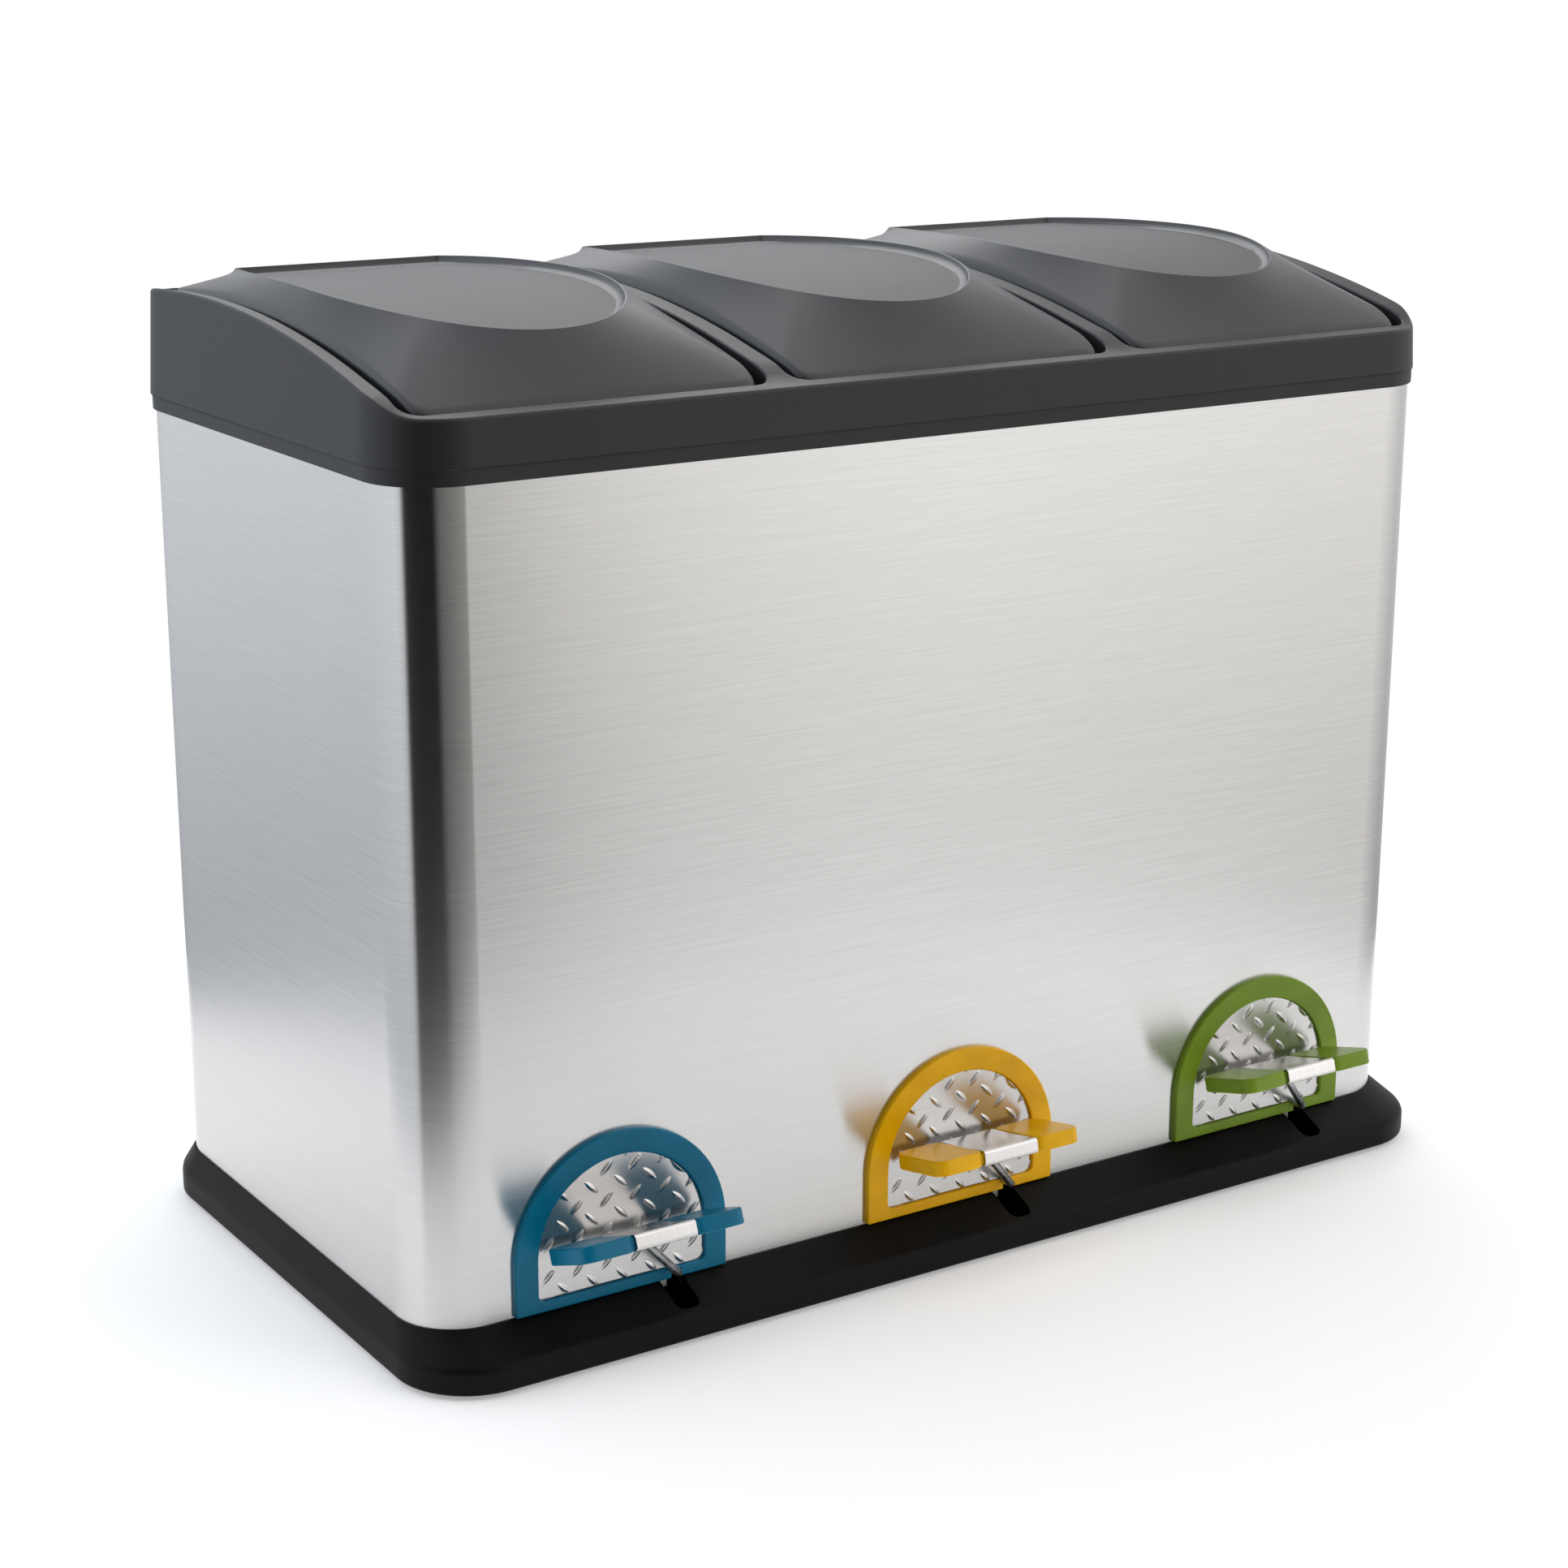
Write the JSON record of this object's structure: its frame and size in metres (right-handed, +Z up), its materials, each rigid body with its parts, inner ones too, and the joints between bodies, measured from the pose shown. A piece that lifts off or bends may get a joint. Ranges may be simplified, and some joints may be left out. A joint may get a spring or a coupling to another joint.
{
  "type": "recycling bin station",
  "caption": "Steel-bodied recycling bin with separate lidded compartments, each opened by its own coloured foot pedal.",
  "frame": {"origin": "on the floor, under the middle of the bin's overall width and depth, pedals included", "axes": "+X to the right seen from the front, +Y to the rear, +Z up; the pedals face -Y"},
  "size_m": [0.596, 0.3356, 0.4716],
  "materials": {
    "base_black": "fine matt texture",
    "foot_rubber": "matt",
    "brushed_steel": "satin, horizontal grain",
    "tread_steel": "satin with raised tread bars",
    "clip_steel": "satin",
    "rod_steel": "dark zinc plated",
    "zinc_steel": "zinc plated",
    "frame_charcoal": "fine moulded grain",
    "lid_charcoal": "satin sides, grained dish",
    "inner_plastic": "smooth moulded",
    "blue_plastic": "semi-gloss",
    "yellow_plastic": "semi-gloss",
    "green_plastic": "semi-gloss"
  },
  "bodies": {
    "cabinet": {"base_plinth": "base_black", "rubber_feet": "foot_rubber", "body_shell": "brushed_steel", "bucket_shelf": "inner_plastic", "shelf_screws": "zinc_steel", "top_frame": "frame_charcoal", "frame_screws": "zinc_steel", "bracket_screws": "zinc_steel", "left_tread_plate": "tread_steel", "left_surround": "blue_plastic", "left_bucket": "inner_plastic", "left_pivot_bracket": "zinc_steel", "left_pivot_pin": "zinc_steel", "left_rod_guides": "inner_plastic", "left_hinge_pins": "zinc_steel", "middle_tread_plate": "tread_steel", "middle_surround": "yellow_plastic", "middle_bucket": "inner_plastic", "middle_pivot_bracket": "zinc_steel", "middle_pivot_pin": "zinc_steel", "middle_rod_guides": "inner_plastic", "middle_hinge_pins": "zinc_steel", "right_tread_plate": "tread_steel", "right_surround": "green_plastic", "right_bucket": "inner_plastic", "right_pivot_bracket": "zinc_steel", "right_pivot_pin": "zinc_steel", "right_rod_guides": "inner_plastic", "right_hinge_pins": "zinc_steel"},
    "left_pedal": {"left_lever_rod": "rod_steel", "left_lever_hub": "inner_plastic", "left_pedal_pad": "blue_plastic", "left_pedal_clip": "clip_steel"},
    "left_lift": {"left_lift_rod": "rod_steel", "left_lift_caps": "inner_plastic"},
    "left_lid_body": {"left_lid": "lid_charcoal", "left_lid_hinge": "inner_plastic"},
    "middle_pedal": {"middle_lever_rod": "rod_steel", "middle_lever_hub": "inner_plastic", "middle_pedal_pad": "yellow_plastic", "middle_pedal_clip": "clip_steel"},
    "middle_lift": {"middle_lift_rod": "rod_steel", "middle_lift_caps": "inner_plastic"},
    "middle_lid_body": {"middle_lid": "lid_charcoal", "middle_lid_hinge": "inner_plastic"},
    "right_pedal": {"right_lever_rod": "rod_steel", "right_lever_hub": "inner_plastic", "right_pedal_pad": "green_plastic", "right_pedal_clip": "clip_steel"},
    "right_lift": {"right_lift_rod": "rod_steel", "right_lift_caps": "inner_plastic"},
    "right_lid_body": {"right_lid": "lid_charcoal", "right_lid_hinge": "inner_plastic"}
  },
  "joints": [
    {"name": "left_lid_hinge_turn", "type": "hinge", "parent": "cabinet", "child": "left_lid_body", "pos_m": [-0.191, 0.15283, 0.4545], "axis": [-1, 0, 0], "range_deg": [0, 70]},
    {"name": "left_pedal_press", "type": "hinge", "parent": "cabinet", "child": "left_pedal", "pos_m": [-0.163, -0.01417, 0.021], "axis": [1, 0, 0], "range_deg": [0, 6.5]},
    {"name": "left_rod_lift", "type": "slide", "parent": "cabinet", "child": "left_lift", "axis": [0, 0, 1], "range_m": [0, 0.0173]},
    {"name": "middle_lid_hinge_turn", "type": "hinge", "parent": "cabinet", "child": "middle_lid_body", "pos_m": [0, 0.15283, 0.4545], "axis": [-1, 0, 0], "range_deg": [0, 70]},
    {"name": "middle_pedal_press", "type": "hinge", "parent": "cabinet", "child": "middle_pedal", "pos_m": [0.028, -0.01417, 0.021], "axis": [1, 0, 0], "range_deg": [0, 6.5]},
    {"name": "middle_rod_lift", "type": "slide", "parent": "cabinet", "child": "middle_lift", "axis": [0, 0, 1], "range_m": [0, 0.0173]},
    {"name": "right_lid_hinge_turn", "type": "hinge", "parent": "cabinet", "child": "right_lid_body", "pos_m": [0.191, 0.15283, 0.4545], "axis": [-1, 0, 0], "range_deg": [0, 70]},
    {"name": "right_pedal_press", "type": "hinge", "parent": "cabinet", "child": "right_pedal", "pos_m": [0.219, -0.01417, 0.021], "axis": [1, 0, 0], "range_deg": [0, 6.5]},
    {"name": "right_rod_lift", "type": "slide", "parent": "cabinet", "child": "right_lift", "axis": [0, 0, 1], "range_m": [0, 0.0173]}
  ],
  "couplings": [
    {"joint": "left_pedal_press", "follows": "left_lid_hinge_turn", "ratio": 0.092857},
    {"joint": "left_rod_lift", "follows": "left_lid_hinge_turn", "m_per_rad": 0.01416},
    {"joint": "middle_pedal_press", "follows": "middle_lid_hinge_turn", "ratio": 0.092857},
    {"joint": "middle_rod_lift", "follows": "middle_lid_hinge_turn", "m_per_rad": 0.01416},
    {"joint": "right_pedal_press", "follows": "right_lid_hinge_turn", "ratio": 0.092857},
    {"joint": "right_rod_lift", "follows": "right_lid_hinge_turn", "m_per_rad": 0.01416}
  ]
}
